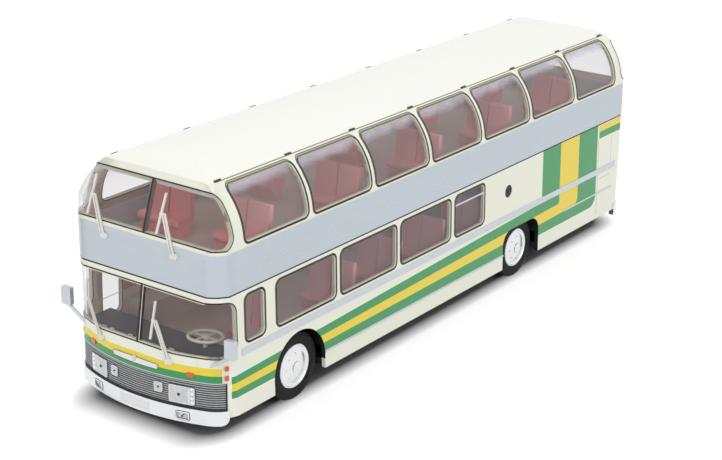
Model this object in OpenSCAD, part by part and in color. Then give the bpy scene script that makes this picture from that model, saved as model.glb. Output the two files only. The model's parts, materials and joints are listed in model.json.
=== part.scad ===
// Scale model of a two-axle double-deck touring coach.
// Millimetres, nose towards +X, left side +Y, ground at Z = 0.

/* [Body] */
// length over both bumpers
coach_l = 276; // [240:1:310]
// width over the sides
body_w = 68; // [60:0.5:76]
// bottom edge of the skirts above the ground
skirt_z = 7.5; // [6.5:0.1:8.5]
// height of the lower body, skirt to silver band
lower_h = 42.6; // [38:0.2:48]
// height of the silver band
band_h = 12.6; // [10:0.2:15]
// height of the upper side, band to roof gutter
upper_h = 22; // [19:0.2:25]
// rise of the roof crown above the gutter
roof_rise = 4.3; // [3.4:0.1:5.2]
// upright lip of the roof above the gutter
roof_lip = 0.4; // [0.3:0.05:0.6]
// wall thickness of the body panels
wall = 1.6; // [1.3:0.1:1.9]
// lean of each side from skirt to cove
side_lean = 1.6; // [1:0.1:2.2]
// straight upright between the band and the cove
cove_lift = 3; // [2.4:0.1:3.6]

/* [Nose and tail] */
// radius of the bowed front in plan
bow_r = 75; // [64:1:90]
// radius of the front corners in plan
corner_r = 11; // [9:0.5:13]
// radius of the rear corners in plan
rear_r = 7; // [5.5:0.5:8.5]
// height of the upright apron under the lower screen
apron_h = 14.5; // [13:0.5:16]
// height of the lower screen's foot above the skirt
foot_h = 20.9; // [19.5:0.1:22.5]
// setback of the lower screen at its foot
foot_back = 1.6; // [1:0.1:2.4]
// setback of the lower screen at its head
head_back = 5.2; // [4:0.2:6]
// setback of the upper screen at its head
brow_back = 12.6; // [10.6:0.2:14.6]
// length of the curve from the brow up to the roof
brow_l = 15; // [12:0.5:18]
// setback of the tail at the gutter
tail_back = 4; // [3:0.2:5]

/* [Windows] */
// sill of the lower side windows above the skirt
sill_h = 24; // [22.5:0.2:25.5]
// panel left between the lower windows and the band
low_head = 1.9; // [1.4:0.1:2.4]
// corner radius of the side windows
win_r = 2.4; // [1.8:0.1:3]
// width of an upper pillar
up_pillar = 2.3; // [1.8:0.1:3]
// panel left before the first and after the last upper window
up_end = 3; // [2.4:0.1:3.8]
// sill of the upper windows above the band
up_sill = 2.6; // [2:0.1:3.2]
// panel left between the upper windows and the gutter
up_head = 0.9; // [0.7:0.1:1.3]
// pillar between a screen and the side seam
screen_edge = 1.8; // [1.2:0.1:2.4]
// corner radius of the screens
screen_r = 4.6; // [3.6:0.2:5.6]
// width of the black seals round the glass
seal_w = 0.45; // [0.35:0.05:0.6]
// width of the upright bar in each screen
bar_w = 0.8; // [0.6:0.1:1.1]
// setback of the glass behind the panel face
glass_in = 0.25; // [0.15:0.05:0.4]
// thickness of the glazing strip behind the panels
glass_t = 0.8; // [0.6:0.1:1]

/* [Wheels] */
// distance between the axles
wheelbase = 144; // [128:1:158]
// front axle behind the front bumper
front_over = 46; // [42:0.5:50]
// tyre radius
tyre_r = 12.4; // [11.6:0.1:13.2]
// width of a front tyre
tyre_w = 7.2; // [6.4:0.1:8]
// width of one of the twin rear tyres
twin_w = 5.2; // [4.6:0.1:5.8]
// gap between twin tyres
twin_gap = 0.8; // [0.6:0.1:1.2]
// radius of the rim under the tyre
rim_r = 8; // [7.4:0.1:8.6]
// axle rod radius
rod_r = 1.25; // [1.1:0.05:1.4]
// running clearance of the rod in its bearing
rod_gap = 0.05; // [0.03:0.01:0.09]
// inset of the tyres behind the body side
tyre_in = 2.7; // [2.5:0.1:3.4]
// clearance of the front arch round the tyre
arch_gap = 1.4; // [1:0.1:1.8]
// how far the flat rear arch comes down over the tyre
arch_drop = 1.8; // [1:0.1:2.6]

/* [Inside] */
// thickness of a deck
deck_t = 1.5; // [1.2:0.1:1.9]
// width of a double seat
seat_w = 19; // [16.5:0.5:20]
// length of a seat cushion
seat_l = 7.6; // [6.6:0.2:8.6]
// height of a cushion above the deck
seat_base = 6.2; // [5.4:0.2:7]
// height of a seat back above the deck
seat_h = 18; // [16:0.5:19]
// height of the dashboard above the lower deck
dash_h = 8.8; // [8:0.2:9.6]

/* [Fittings] */
// how far the bumpers stand out from the panels
bumper_out = 0.6; // [0.4:0.1:0.9]
// height of a bumper
bumper_h = 5.2; // [4.6:0.1:5.8]
// drop of the bumpers below the skirt
bumper_drop = 2.5; // [2:0.1:3]
// height of the slatted grille
grille_h = 9.7; // [8.7:0.1:10.5]
// depth of the grille's pocket
grille_in = 0.8; // [0.6:0.1:1]
// size of a headlamp
lamp_size = 7.4; // [6.4:0.1:8.2]
// height of the bright strip under the side windows
trim_h = 2.5; // [2:0.1:2.9]
// spacing of the two base screws
screw_gap = 140; // [120:1:150]

/* [Hidden] */
$fn = 64;
overrun = 1;
half_w = body_w / 2;
nose_x = coach_l / 2 - bumper_out;
tail_x = -nose_x;
band_z = skirt_z + lower_h;
band_top = band_z + band_h;
gutter_z = band_top + upper_h;
roof_z = gutter_z + roof_rise;
apron_z = skirt_z + apron_h;
foot_z = skirt_z + foot_h;
sill_z = skirt_z + sill_h;
low_top = band_z - low_head;
up_z = band_top + up_sill;
up_top = gutter_z - up_head;

// cove arc from an upright start past the gutter, crown and brow arcs from the lip over the roof
cove_share = 0.29;
crown_rise = roof_rise - roof_lip;
cove_z = band_top + cove_lift;
cove_y = half_w - side_lean;
cove_in = half_w * cove_share;
cove_rise = gutter_z - cove_z;
cove_r = (cove_in * cove_in + cove_rise * cove_rise) / (2 * cove_in);
gutter_y = cove_y - cove_in;
crown_r = (gutter_y * gutter_y + crown_rise * crown_rise) / (2 * crown_rise);
brow_r = (brow_l * brow_l + crown_rise * crown_rise) / (2 * crown_rise);

bow_x = nose_x - bow_r;
corner_y = half_w - corner_r;
seam_x = bow_x + sqrt(pow(bow_r - corner_r, 2) - pow(corner_y, 2));
seam_rear = tail_x + rear_r;
flank_l = seam_x - seam_rear;
flank_y = min(corner_y, gutter_y - 2 * wall);
far_y = half_w + 4 * wall;
far_x = coach_l / 2 + 4 * wall;
sides = [-1, 1];

front_x = coach_l / 2 - front_over;
rear_x = front_x - wheelbase;
tyre_y = half_w - tyre_in;
bore_r = rod_r + rod_gap;
arch_r = tyre_r + arch_gap;

// cross-section of the body, drawn in Y and Z
module section(inset) {
    intersection() {
        union() {
            polygon([[inset - half_w, -overrun], [half_w - inset, -overrun],
                [cove_y - inset, cove_z], [inset - cove_y, cove_z]]);
            for (side = sides)
                translate([side * (cove_y - cove_r), cove_z]) circle(r = cove_r - inset);
            translate([cove_r - cove_y, cove_z])
                square([2 * (cove_y - cove_r), cove_r - inset]);
        }
        translate([0, roof_z - crown_r]) circle(r = crown_r - inset);
    }
}

// plan of the body: a bowed nose running tangent into round corners
module plan(inset) {
    reach = 2;
    reach_x = reach * (seam_x - bow_x);
    reach_y = reach * corner_y;
    intersection() {
        translate([bow_x, 0]) circle(r = bow_r - inset);
        polygon([[bow_x, 0], [bow_x + reach_x, reach_y], [bow_x + reach_x, -reach_y]]);
    }
    for (side = sides) {
        translate([seam_x, side * corner_y]) circle(r = corner_r - inset);
        translate([seam_rear, side * (half_w - rear_r)]) circle(r = rear_r - inset);
    }
    translate([seam_rear, inset - half_w])
        square([flank_l, 2 * (half_w - inset)]);
    translate([tail_x + inset, rear_r - half_w])
        square([rear_r - inset, 2 * (half_w - rear_r)]);
}

// side profile of the body with raked screens and a curved brow, drawn in X and Z
module profile(inset) {
    brow_x = nose_x - brow_back;
    rear_brow = tail_x + tail_back;
    intersection() {
        polygon([[tail_x + inset, -overrun], [nose_x - inset, -overrun], [nose_x - inset, apron_z],
            [nose_x - foot_back - inset, foot_z], [nose_x - head_back - inset, band_z],
            [nose_x - head_back - inset, band_top], [brow_x - inset, gutter_z],
            [brow_x - inset, roof_z + overrun], [rear_brow + inset, roof_z + overrun],
            [rear_brow + inset, gutter_z], [tail_x + inset, band_top]]);
        union() {
            translate([-far_x, -overrun]) square([2 * far_x, gutter_z + overrun]);
            translate([rear_brow + brow_l, 0])
                square([brow_x - rear_brow - 2 * brow_l, roof_z - inset]);
            for (x = [brow_x - brow_l, rear_brow + brow_l])
                translate([x, roof_z - brow_r]) circle(r = brow_r - inset);
        }
    }
}

// the whole body as one solid, set in by a given amount
module shape(inset) {
    intersection() {
        translate([-coach_l, 0, 0]) rotate([90, 0, 90]) linear_extrude(2 * coach_l) section(inset);
        translate([0, 0, -overrun]) linear_extrude(roof_z + 2 * overrun) plan(inset);
        translate([0, body_w, 0]) rotate([90, 0, 0]) linear_extrude(2 * body_w) profile(inset);
    }
}

// a skin of the body between two depths
module skin(outer, inner) {
    difference() {
        shape(outer);
        shape(inner);
    }
}

// a box from one corner to the other
module span(low, high) {
    translate(low) cube(high - low);
}

module round_rect(w, h, r) {
    translate([r, 0]) square([w - 2 * r, h]);
    translate([0, r]) square([w, h - 2 * r]);
    for (x = [r, w - r], y = [r, h - r]) translate([x, y]) circle(r = r);
}

// zones between two heights: one flank, the nose, the tail, the whole width
module flank(side, z0, z1) {
    span([seam_rear, side > 0 ? flank_y : -far_y, z0], [seam_x, side > 0 ? far_y : -flank_y, z1]);
}

module nose_zone(z0, z1) {
    span([seam_x, -far_y, z0], [far_x, far_y, z1]);
}

// the part of the nose that carries the grille and the bumper
fit_lead = 6;
module fit_zone(z0, z1) {
    span([seam_x + fit_lead, -far_y, z0], [far_x, far_y, z1]);
}

module tail_zone(z0, z1) {
    span([-far_x, -far_y, z0], [seam_rear, far_y, z1]);
}

module slab(z0, z1) {
    span([-far_x, -far_y, z0], [far_x, far_y, z1]);
}

// a drawing in X and Z pushed through one side, or in Y and Z through an end
module through_side(side) {
    translate([0, side > 0 ? far_y : -flank_y, 0]) rotate([90, 0, 0])
        linear_extrude(far_y - flank_y) children();
}

module through_nose() {
    translate([seam_x, 0, 0]) rotate([90, 0, 90]) linear_extrude(far_x - seam_x) children();
}

module through_tail() {
    translate([-far_x, 0, 0]) rotate([90, 0, 90]) linear_extrude(far_x + seam_rear) children();
}

// lower windows as shares of the flank, rear edge and front edge, and the share of
// the door's drop that the glass takes on the left and on the right
low_wins = [[0.951, 0.992, 0, 1], [0.799, 0.929, 0, 0], [0.656, 0.79, 0, 0],
    [0.516, 0.647, 0, 0], [0.422, 0.506, 0, 0]];
win_rear = 0;
win_front = 1;
drop_left = 2;
drop_right = 3;
door_drop = 9;
module low_windows(side, shrink) {
    for (w = low_wins) {
        x0 = seam_rear + flank_l * w[win_rear] + shrink;
        x1 = seam_rear + flank_l * w[win_front] - shrink;
        z0 = sill_z - door_drop * w[side > 0 ? drop_left : drop_right] + shrink;
        through_side(side) translate([x0, z0]) round_rect(x1 - x0, low_top - shrink - z0, win_r - shrink);
    }
}

// upper windows at an even pitch along the flank
up_wins = 7;
up_pitch = (flank_l - 2 * up_end + up_pillar) / up_wins;
module up_windows(side, shrink) {
    for (i = [0 : up_wins - 1]) {
        x0 = seam_rear + up_end + i * up_pitch + shrink;
        w = up_pitch - up_pillar - 2 * shrink;
        through_side(side) translate([x0, up_z + shrink])
            round_rect(w, up_top - up_z - 2 * shrink, win_r - shrink);
    }
}

// screens wrap the corners; their outline is drawn from the side
module nose_screen(z0, z1, shrink) {
    x0 = seam_x + screen_edge + shrink;
    translate([x0, far_y, z0 + shrink]) rotate([90, 0, 0]) linear_extrude(2 * far_y)
        round_rect(far_x + screen_r - x0, z1 - z0 - 2 * shrink, screen_r - shrink);
}

module tail_screen(shrink) {
    x1 = seam_rear - screen_edge - shrink;
    translate([-far_x - screen_r, far_y, up_z + shrink]) rotate([90, 0, 0]) linear_extrude(2 * far_y)
        round_rect(x1 + far_x + screen_r, up_top - up_z - 2 * shrink, screen_r - shrink);
}

// wheel arches: a round one in front, a lower one with a flat top behind
arch_round = 6;
module arches(side) {
    through_side(side) {
        translate([front_x, tyre_r]) circle(r = arch_r);
        translate([front_x - arch_r, -overrun]) square([2 * arch_r, tyre_r + overrun]);
        translate([rear_x - arch_r, -2 * arch_round])
            round_rect(2 * arch_r, 2 * arch_round + 2 * tyre_r - arch_drop, arch_round);
    }
}

// round vent behind the last lower window, left side
vent_share = 0.352;
vent_r = 2.6;
vent_in = 0.5;
module vent(outer, inner) {
    intersection() {
        skin(outer, inner);
        through_side(1) translate([seam_rear + flank_l * vent_share, (sill_z + low_top) / 2])
            circle(r = vent_r);
    }
}

// outline of the door moulded into the right side, as shares of the flank
doors = [[0.945, 0.998]];
door_line = 0.35;
door_foot = 2;
module door_lines() {
    for (d = doors) {
        x0 = seam_rear + flank_l * d[win_rear];
        w = flank_l * (d[win_front] - d[win_rear]);
        h = band_z - skirt_z - door_foot - door_line;
        intersection() {
            skin(-overrun, door_line);
            through_side(-1) translate([x0, skirt_z + door_foot]) difference() {
                round_rect(w, h, win_r / 2);
                translate([door_line, door_line])
                    round_rect(w - 2 * door_line, h - 2 * door_line, win_r / 2 - door_line);
            }
        }
    }
}

module lower_side(side) {
    difference() {
        intersection() {
            skin(0, wall);
            flank(side, skirt_z, band_z);
        }
        low_windows(side, 0);
        arches(side);
    }
}

module lower_left() {
    color("ivory") difference() {
        lower_side(1);
        vent(-overrun, vent_in);
    }
}

module lower_right() {
    color("ivory") difference() {
        lower_side(-1);
        door_lines();
    }
}

bumper_z = skirt_z - bumper_drop;
bumper_top = bumper_z + bumper_h;
grille_z = bumper_top;
grille_top = grille_z + grille_h;

// lamps: offset as a share of the half width, height as a share of the grille,
// width and height as shares of the headlamp size
lamps = [[0.544, 0.45, 1.23, 0.85], [0.29, 0.56, 0.44, 0.48], [0.556, -0.3, 0.65, 0.4]];
lamp_y = 0;
lamp_z = 1;
lamp_wide = 2;
lamp_tall = 3;
lamp_r = 0.7;
module lamp_prisms() {
    for (l = lamps, side = sides) {
        w = lamp_size * l[lamp_wide];
        h = lamp_size * l[lamp_tall];
        through_nose() translate([side * half_w * l[lamp_y] - w / 2, grille_z + grille_h * l[lamp_z] - h / 2])
            round_rect(w, h, lamp_r);
    }
}

module lower_front() {
    color("ivory") difference() {
        intersection() {
            skin(0, wall);
            nose_zone(skirt_z, band_z);
        }
        nose_screen(foot_z, low_top, 0);
        fit_zone(bumper_z, bumper_top);
        intersection() {
            skin(-overrun, grille_in);
            fit_zone(bumper_z, grille_top);
        }
        lamp_prisms();
    }
}

// rear panel with pressed engine louvres
louvre_n = 7;
louvre_w = 34;
louvre_h = 0.8;
louvre_gap = 1.8;
louvre_in = 0.6;
louvre_lift = 9;
module lower_rear() {
    color("ivory") difference() {
        intersection() {
            skin(0, wall);
            tail_zone(bumper_top, band_z);
        }
        intersection() {
            skin(-overrun, louvre_in);
            for (i = [0 : louvre_n - 1])
                through_tail() translate([-louvre_w / 2, bumper_top + louvre_lift + i * louvre_gap])
                    square([louvre_w, louvre_h]);
        }
    }
}

module band_side(side) {
    color("lightsteelblue") intersection() {
        skin(0, wall);
        flank(side, band_z, band_top);
    }
}

module band_left() { band_side(1); }
module band_right() { band_side(-1); }

module band_front() {
    color("lightsteelblue") intersection() {
        skin(0, wall);
        nose_zone(band_z, band_top);
    }
}

module band_rear() {
    color("lightsteelblue") intersection() {
        skin(0, wall);
        tail_zone(band_z, band_top);
    }
}

module upper_side(side) {
    color("ivory") difference() {
        intersection() {
            skin(0, wall);
            flank(side, band_top, gutter_z);
        }
        up_windows(side, 0);
    }
}

module upper_left() { upper_side(1); }
module upper_right() { upper_side(-1); }

module upper_front() {
    color("ivory") difference() {
        intersection() {
            skin(0, wall);
            nose_zone(band_top, gutter_z);
        }
        nose_screen(up_z, up_top, 0);
    }
}

module upper_rear() {
    color("ivory") difference() {
        intersection() {
            skin(0, wall);
            tail_zone(band_top, gutter_z);
        }
        tail_screen(0);
    }
}

module roof() {
    color("ivory") intersection() {
        skin(0, wall);
        slab(gutter_z, roof_z + overrun);
    }
}

// glazing strip behind the panels with a pad standing in each window
strip_lap = 1.2;
module glass_low(side) {
    color("lightgrey") {
        intersection() {
            skin(wall, wall + glass_t);
            flank(side, sill_z - strip_lap, band_z);
        }
        intersection() {
            skin(glass_in, wall);
            low_windows(side, seal_w);
        }
    }
}

module glass_low_left() { glass_low(1); }
module glass_low_right() { glass_low(-1); }

module glass_up(side) {
    color("lightgrey") {
        intersection() {
            skin(wall, wall + glass_t);
            flank(side, band_top, gutter_z);
        }
        intersection() {
            skin(glass_in, wall);
            up_windows(side, seal_w);
        }
    }
}

module glass_up_left() { glass_up(1); }
module glass_up_right() { glass_up(-1); }

module bar_zone() {
    span([seam_x, -bar_w / 2, 0], [far_x, bar_w / 2, roof_z]);
}

module screen(z0, z1) {
    color("lightgrey") difference() {
        intersection() {
            skin(glass_in, wall);
            nose_screen(z0, z1, seal_w);
        }
        bar_zone();
    }
}

module screen_low() { screen(foot_z, low_top); }
module screen_up() { screen(up_z, up_top); }

module rear_glass() {
    color("lightgrey") intersection() {
        skin(glass_in, wall);
        tail_screen(seal_w);
    }
}

// black seals standing a little proud round every pane, with the upright bar in each screen
seal_out = 0.12;
screens = [[foot_z, low_top], [up_z, up_top]];
pane_foot = 0;
pane_head = 1;
module side_seals(side) {
    difference() {
        union() {
            low_windows(side, 0);
            up_windows(side, 0);
        }
        low_windows(side, seal_w);
        up_windows(side, seal_w);
    }
}

module screen_seals() {
    for (s = screens) {
        difference() {
            nose_screen(s[pane_foot], s[pane_head], 0);
            nose_screen(s[pane_foot], s[pane_head], seal_w);
        }
        intersection() {
            nose_screen(s[pane_foot], s[pane_head], seal_w / 2);
            bar_zone();
        }
    }
    difference() {
        tail_screen(0);
        tail_screen(seal_w);
    }
}

module seals() {
    color("black") {
        intersection() {
            skin(-seal_out, wall);
            union() {
                for (side = sides) side_seals(side);
                screen_seals();
            }
        }
        vent(vent_in / 2, vent_in);
    }
}

// axles: place, depth of the wheels from the outer tyre face
twin_all = 2 * twin_w + twin_gap;
axles = [[front_x, tyre_w], [rear_x, twin_all]];
axle_x = 0;
axle_w = 1;

// chassis plate with bearing blocks for both rods and two screw bosses
plate_lift = 0.5;
plate_t = 2.4;
plate_z = skirt_z + plate_lift;
plate_top = plate_z + plate_t;
well_gap = 1.6;
well_l = 2 * (tyre_r + well_gap);
block_l = 7;
block_w = 5;
block_gap = 1;
block_wall = 1.6;
deck_z = tyre_r + bore_r + block_wall;
boss_r = 4;
screw_r = 1.5;
screw_back = 0.17;
screw_mid = (front_x + rear_x) / 2 - screw_gap * screw_back;
screws = [screw_mid + screw_gap / 2, screw_mid - screw_gap / 2];

function well_y(a) = tyre_y - a[axle_w] - well_gap;

module wells(z0, z1, grow) {
    for (a = axles, side = sides)
        translate([a[axle_x] - well_l / 2 - grow, side > 0 ? well_y(a) - grow : -far_y, z0])
            cube([well_l + 2 * grow, far_y - well_y(a) + grow, z1 - z0]);
}

module chassis_plate() {
    color("dimgray") difference() {
        union() {
            difference() {
                intersection() {
                    shape(wall);
                    slab(plate_z, plate_top);
                }
                wells(0, roof_z, 0);
            }
            for (a = axles, side = sides)
                translate([a[axle_x] - block_l / 2, side * (well_y(a) - block_gap - block_w / 2), plate_z])
                    translate([0, -block_w / 2, 0]) cube([block_l, block_w, deck_z - plate_z]);
            for (x = screws)
                translate([x, 0, plate_z]) cylinder(r = boss_r, h = deck_z - plate_z);
        }
        for (a = axles)
            translate([a[axle_x], body_w, tyre_r]) rotate([90, 0, 0]) cylinder(r = bore_r, h = 2 * body_w);
        for (x = screws)
            translate([x, 0, 0]) cylinder(r = screw_r, h = roof_z);
    }
}

// lower deck with a box over each wheel
box_t = 1;
box_gap = 0.8;
box_top = 2 * tyre_r + box_gap;
module lower_deck() {
    color("rosybrown") difference() {
        intersection() {
            shape(wall);
            union() {
                slab(deck_z, deck_z + deck_t);
                wells(deck_z, box_top + box_t, box_t);
            }
        }
        wells(0, box_top, 0);
    }
}

deck_lift = 2;
upper_deck_z = band_z + deck_lift;
module upper_deck() {
    color("rosybrown") intersection() {
        shape(wall);
        slab(upper_deck_z, upper_deck_z + deck_t);
    }
}

// a double seat facing forward: pedestal, cushion with a round front, leaning back
seat_y = 7.6;
cushion_t = 2.8;
back_t = 2.2;
back_lean = 1.8;
leg_in = 1.6;
seat_split = 0.6;
module seat_side(h) {
    edge = cushion_t / 2;
    translate([leg_in, 0]) square([seat_l - 2 * leg_in, seat_base]);
    translate([0, seat_base - cushion_t]) square([seat_l - edge, cushion_t]);
    translate([seat_l - edge, seat_base - edge]) circle(r = edge);
    polygon([[0, seat_base - cushion_t], [back_t, seat_base - cushion_t],
        [back_t - back_lean, h - back_t / 2], [-back_lean, h - back_t / 2]]);
    translate([back_t / 2 - back_lean, h - back_t / 2]) circle(r = back_t / 2);
}

module bench(x, side, z, h, w) {
    y0 = side > 0 ? seat_y : -seat_y - w;
    translate([x, y0, z]) difference() {
        translate([0, w, 0]) rotate([90, 0, 0]) linear_extrude(w) seat_side(h);
        if (w > seat_w / 2)
            translate([-back_t - back_lean, (w - seat_split) / 2, seat_base])
                cube([2 * back_t + 2 * back_lean, seat_split, h]);
    }
}

// lower rows stand between the wheel boxes, with the driver's seat in front
low_rows = 4;
driver_share = 0.6;
low_pitch = (wheelbase - well_l - 2 * box_t) / low_rows;
low_first = rear_x + well_l / 2 + box_t + back_lean + back_t;
deck_top = deck_z + deck_t;
low_rise = 2;
module seats_low() {
    color("indianred") {
        for (i = [0 : low_rows - 1], side = sides)
            bench(low_first + i * low_pitch, side, deck_top, seat_h + low_rise, seat_w);
        bench(front_x, 1, deck_top, seat_h + low_rise, seat_w * driver_share);
    }
}

// upper rows stand wider apart than the windows
up_rows = 5;
up_step = 1.4 * up_pitch;
up_first = seam_x - 0.65 * up_pitch;
up_deck_top = upper_deck_z + deck_t;
module seats_up() {
    color("indianred") for (i = [0 : up_rows - 1], side = sides)
        bench(up_first - i * up_step, side, up_deck_top, seat_h, seat_w);
}

// dashboard filling the nose under the lower screen, with a sloped rear edge
dash_l = 9;
dash_drop = 3;
dash_slope = 3;
dash_x = seam_x - dash_l;
dash_top = deck_top + dash_h;
module dash_prism() {
    translate([0, far_y, 0]) rotate([90, 0, 0]) linear_extrude(2 * far_y)
        polygon([[dash_x, deck_top], [far_x, deck_top], [far_x, dash_top],
            [dash_x + dash_slope, dash_top], [dash_x, dash_top - dash_drop]]);
}

module dashboard() {
    color("dimgray") intersection() {
        shape(wall);
        dash_prism();
    }
}

// steering wheel, nearly level, on a short column that stands on the dashboard
wheel_lead = 7.4;
wheel_y = 16;
wheel_rake = 5;
wheel_ring = 5.8;
wheel_wire = 0.55;
column_r = 0.75;
column_l = 5;
hub_r = 1.4;
module steering_wheel() {
    color("ivory") difference() {
        translate([dash_x + wheel_lead, wheel_y, dash_top - column_r]) rotate([0, -wheel_rake, 0]) {
            cylinder(r = column_r, h = column_l);
            translate([0, 0, column_l - 2 * wheel_wire]) cylinder(r = hub_r, h = 2 * wheel_wire);
            translate([0, 0, column_l - wheel_wire]) {
                rotate_extrude() translate([wheel_ring, 0]) circle(r = wheel_wire);
                translate([-wheel_ring, -wheel_wire / 2, -wheel_wire / 2])
                    cube([2 * wheel_ring, wheel_wire, wheel_wire]);
                translate([-wheel_wire / 2, -wheel_ring, -wheel_wire / 2])
                    cube([wheel_wire, 2 * wheel_ring, wheel_wire]);
            }
        }
        dash_prism();
    }
}

// grille of fine slats on a back plate in its pocket, cut round the lamps
slat_n = 12;
slat_share = 0.4;
slat_pitch = grille_h / slat_n;
module grille() {
    color("dimgray") difference() {
        union() {
            intersection() {
                skin(grille_in / 2, grille_in);
                fit_zone(grille_z, grille_top);
            }
            intersection() {
                skin(0, grille_in);
                union() for (i = [0 : slat_n - 1])
                    fit_zone(grille_z + i * slat_pitch, grille_z + (i + slat_share) * slat_pitch);
            }
        }
        lamp_prisms();
    }
}

lamp_out = 0.35;
module headlamps() {
    color("whitesmoke") intersection() {
        skin(-lamp_out, wall);
        lamp_prisms();
    }
}

// blank number plate let into the front bumper
plate_w = 13;
plate_h = 3.4;
plate_in = 0.5;
plate_sink = 0.1;
module plate_prism() {
    through_nose() translate([-plate_w / 2, bumper_z + (bumper_h - plate_h) / 2]) square([plate_w, plate_h]);
}

// the front bumper's lower rear corners are rounded where they hang below the skirt
module bumper_prism() {
    x0 = seam_x + fit_lead;
    translate([x0, far_y, bumper_z]) rotate([90, 0, 0]) linear_extrude(2 * far_y) {
        translate([0, bumper_drop]) square([far_x - x0, bumper_h - bumper_drop]);
        translate([bumper_drop, 0]) square([far_x - x0 - bumper_drop, bumper_h]);
        translate([bumper_drop, bumper_drop]) circle(r = bumper_drop);
    }
}

module front_bumper() {
    color("silver") difference() {
        intersection() {
            skin(-bumper_out, wall);
            bumper_prism();
        }
        lamp_prisms();
        intersection() {
            skin(-overrun, plate_in - bumper_out);
            plate_prism();
        }
    }
}

module rear_bumper() {
    color("silver") intersection() {
        skin(-bumper_out, wall);
        tail_zone(bumper_z, bumper_top);
    }
}

// small lenses lying on the panels: offset as a share of the half width, height above
// the skirt as a share of the lower body, width and height as shares of the lens size
lens_size = 2.2;
nose_lenses = [[0.64, 0.345, 1, 0.7], [0.95, 0.415, 0.22, 0.75], [0.95, 0.335, 0.22, 0.75]];
tail_lenses = [[0.66, 0.24, 2.4, 3.2], [0.66, 0.4, 2.4, 1.4], [0.9, 0.52, 0.6, 0.9]];
module lens_shapes(table) {
    for (l = table, side = sides) {
        w = lens_size * l[lamp_wide];
        h = lens_size * l[lamp_tall];
        translate([side * half_w * l[lamp_y] - w / 2, skirt_z + lower_h * l[lamp_z] - h / 2]) square([w, h]);
    }
}

module markers() {
    color("orangered") intersection() {
        skin(-lamp_out, 0);
        union() {
            through_nose() lens_shapes(nose_lenses);
            through_tail() lens_shapes(tail_lenses);
        }
    }
}

// plain plaque over the grille and the plate in the front bumper
plaque_w = 20;
plaque_h = 2;
plaque_lift = 1.8;
plaque_out = 0.3;
module plates() {
    color("ivory") {
        intersection() {
            skin(-plaque_out, 0);
            through_nose() translate([-plaque_w / 2, grille_top + plaque_lift])
                round_rect(plaque_w, plaque_h, lamp_r);
        }
        intersection() {
            skin(plate_sink - bumper_out, plate_in - bumper_out);
            plate_prism();
        }
    }
}

// bright strips: under the windows, along the skirt between the arches and over the rear hatch
trim_out = 0.35;
trim_lift = 20.2;
thin_trim_h = 0.7;
skirt_lift = 5.8;
hatch_lift = 11.3;
hatch_rear = 0.01;
hatch_front = 0.175;
door_rear = seam_rear + flank_l * doors[0][win_rear];
thin_runs = [[seam_rear + flank_l * hatch_rear, seam_rear + flank_l * hatch_front, hatch_lift],
    [rear_x + arch_r, front_x - arch_r, skirt_lift]];
run_lift = 2;
module trim_side(side, x1) {
    color("silver") intersection() {
        skin(-trim_out, 0);
        union() {
            span([seam_rear, side > 0 ? 0 : -far_y, skirt_z + trim_lift],
                [x1, side > 0 ? far_y : 0, skirt_z + trim_lift + trim_h]);
            for (r = thin_runs)
                span([r[win_rear], side > 0 ? 0 : -far_y, skirt_z + r[run_lift]],
                    [r[win_front], side > 0 ? far_y : 0, skirt_z + r[run_lift] + thin_trim_h]);
        }
    }
}

module trim_left() { trim_side(1, seam_x); }
module trim_right() { trim_side(-1, door_rear); }

// mirror head on an arm that slants up and out from the front corner
arm_r = 0.6;
arm_l = 10.2;
arm_in = 6;
arm_lead = 9.2;
arm_drop = 5.5;
arm_tilt = 32;
joint_r = 0.8;
head_l = 1.6;
head_w = 4.4;
head_h = 6.6;
head_lap = 0.6;
head_r = 0.7;
module mirror_one(side) {
    arm_x = seam_x + arm_lead;
    arm_y = half_w - arm_in;
    arm_z = sill_z - arm_drop;
    head_y = arm_y + arm_l * cos(arm_tilt);
    head_z = arm_z + arm_l * sin(arm_tilt);
    color("silver") difference() {
        union() {
            translate([arm_x, side * arm_y, arm_z])
                rotate([side * (arm_tilt - 90), 0, 0]) cylinder(r = arm_r, h = arm_l);
            translate([arm_x, side * head_y, head_z]) sphere(r = joint_r);
            translate([arm_x - head_l / 2, side * head_y - head_w / 2, head_z - head_lap])
                rotate([90, 0, 90]) linear_extrude(head_l) round_rect(head_w, head_h, head_r);
        }
        shape(0);
    }
}

module mirror_left() { mirror_one(1); }
module mirror_right() { mirror_one(-1); }

// wipers: foot offset as a share of the half width; each has twin arms and a blade
wipe_feet = [0.41, -0.5];
wipe_lean = 7;
arm_h = 12;
blade_low = 6;
blade_high = 18;
arm_w = 0.5;
arm_step = 1.1;
blade_w = 0.8;
wipe_out = 0.9;
wipe_gap = 0.35;
pivot_r = 0.9;
module bar(y0, z0, y1, z1, w) {
    run = sqrt(pow(y1 - y0, 2) + pow(z1 - z0, 2));
    translate([seam_x, y0, z0]) rotate([atan2(z1 - z0, y1 - y0), 0, 0])
        translate([0, -w / 2, -w / 2]) cube([far_x - seam_x, run + w, w]);
}

module wiper_set(z) {
    color("silver") for (foot = wipe_feet) {
        y = half_w * foot;
        y1 = y - wipe_lean;
        intersection() {
            skin(-wipe_out, -wipe_gap);
            union() {
                bar(y, z, y1, z + arm_h, arm_w);
                bar(y + arm_step, z, y1 + arm_step, z + arm_h, arm_w);
                bar(y1 - blade_w, z + arm_h, y1 + arm_step, z + arm_h, arm_w);
                bar(y1 - blade_w, z + blade_low, y1, z + blade_high, blade_w);
            }
        }
        intersection() {
            skin(-wipe_out, 0);
            union() for (step = [0, arm_step])
                through_nose() translate([y + step, z]) circle(r = pivot_r);
        }
    }
}

wipe_low_drop = 2.8;
wipe_up_drop = 1.8;
module wipers() {
    wiper_set(foot_z - wipe_low_drop);
    wiper_set(band_top - wipe_up_drop);
}

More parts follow.
